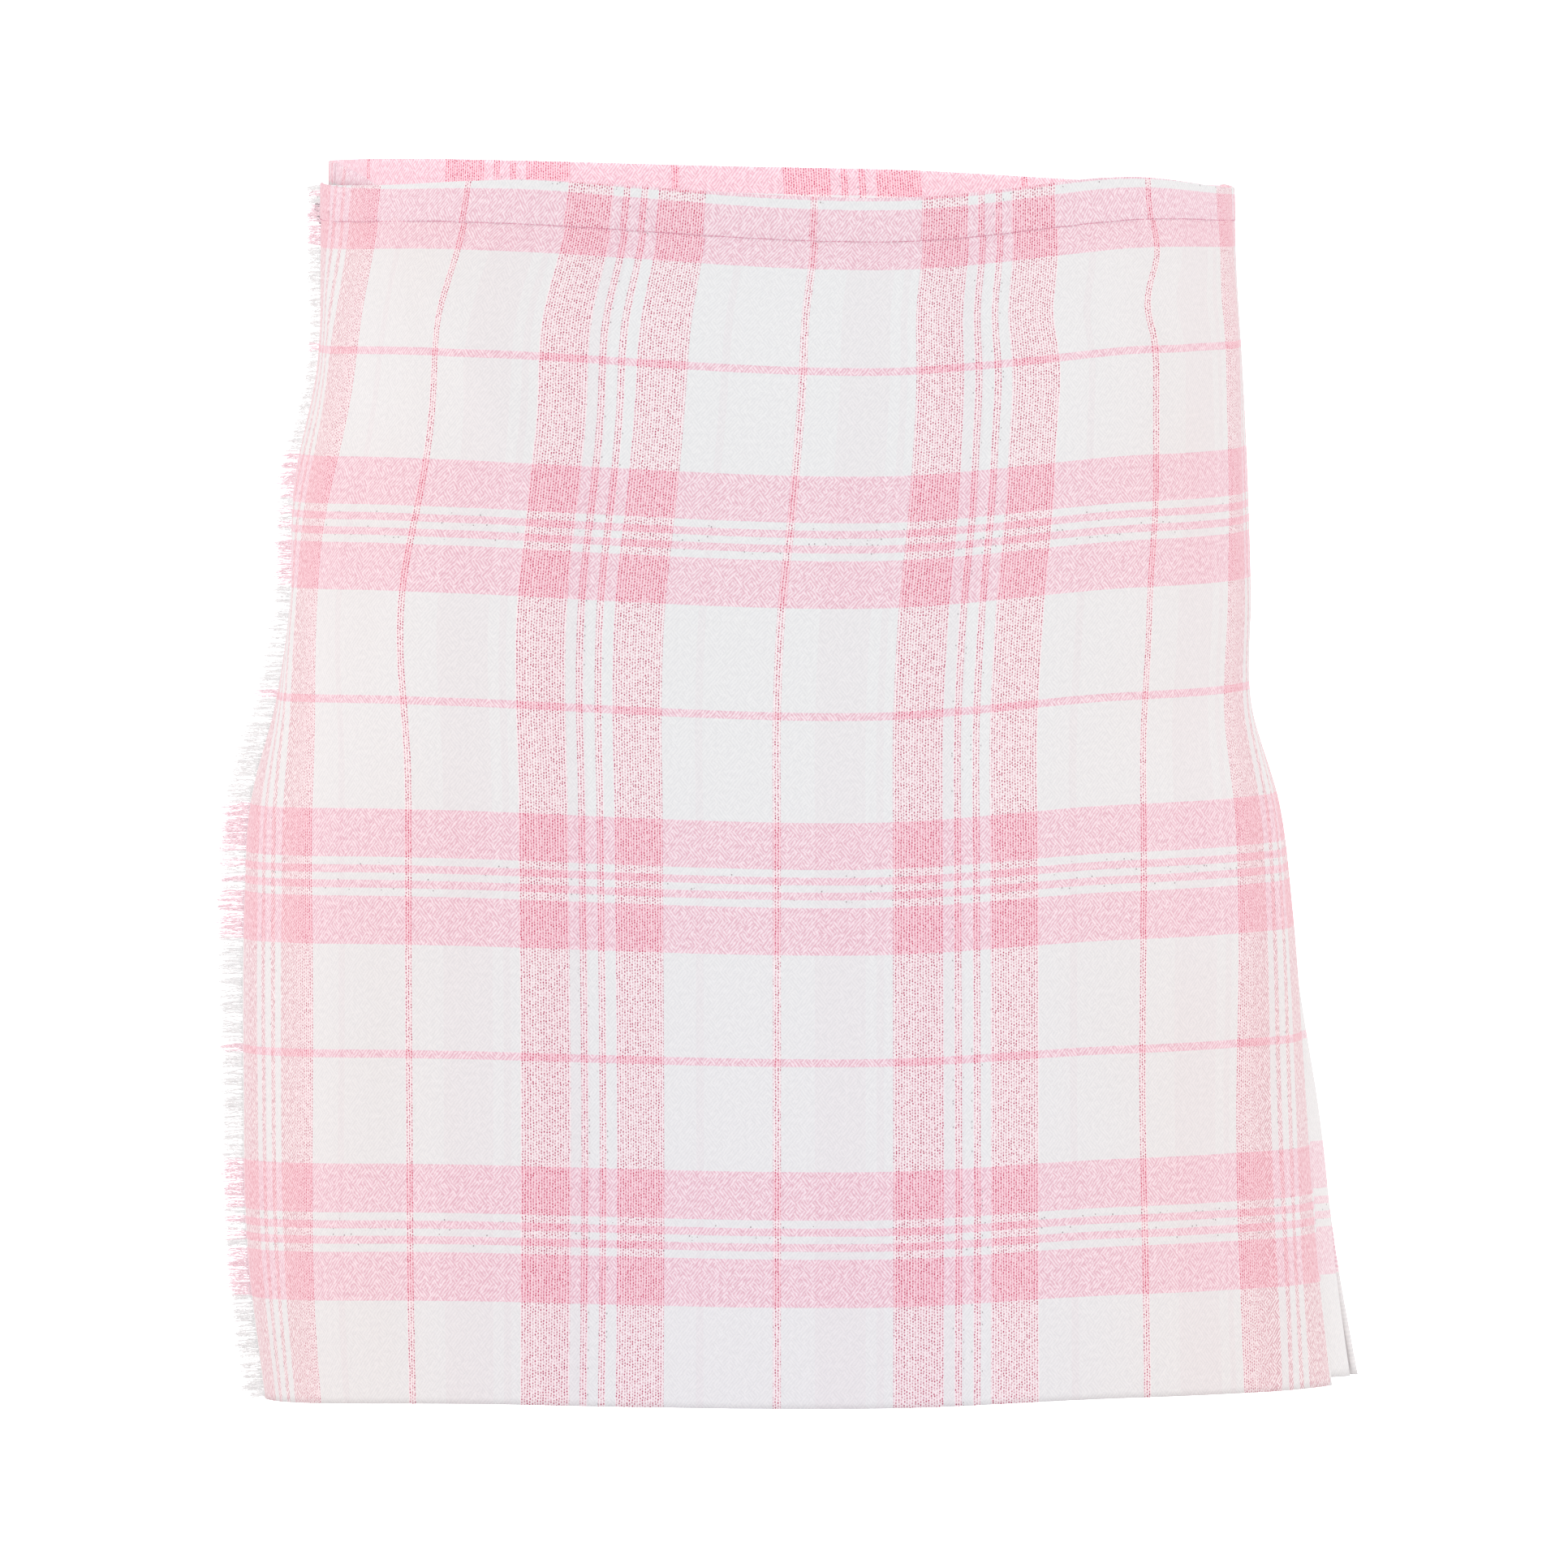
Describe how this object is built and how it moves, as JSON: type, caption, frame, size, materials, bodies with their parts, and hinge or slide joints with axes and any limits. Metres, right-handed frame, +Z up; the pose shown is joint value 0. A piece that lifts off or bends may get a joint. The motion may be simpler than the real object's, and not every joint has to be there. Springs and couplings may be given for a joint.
{
  "type": "short tartan wrap kilt",
  "caption": "Short wrap kilt, worn shape: plain front apron with a fringed edge, knife pleats round the back, an inner apron, a stitched waistband and buckled hip straps.",
  "frame": {"origin": "middle of the waist ring at half the waistband's height, where a wearer's waist holds the kilt", "axes": "+Z up out of the waist, -Y towards the wearer's front, +X to the wearer's left"},
  "size_m": [0.4348, 0.2746, 0.475],
  "materials": {
    "tartan_cloth": "pink and white twill",
    "waistband_cloth": "pink and white twill, stitched",
    "fringe_threads": "loose weft threads",
    "strap_leather": "smooth, dark",
    "buckle_steel": "bright wire"
  },
  "bodies": {
    "root": {"outer_apron": "tartan_cloth", "pleated_back": "tartan_cloth", "under_apron": "tartan_cloth", "waistband_front": "waistband_cloth", "waistband_back": "waistband_cloth", "waistband_under": "waistband_cloth", "apron_fringe": "fringe_threads", "waist_strap": "strap_leather", "waist_tab": "strap_leather", "waist_buckle": "buckle_steel", "hip_strap": "strap_leather", "hip_tab": "strap_leather", "hip_buckle": "buckle_steel"}
  },
  "joints": []
}
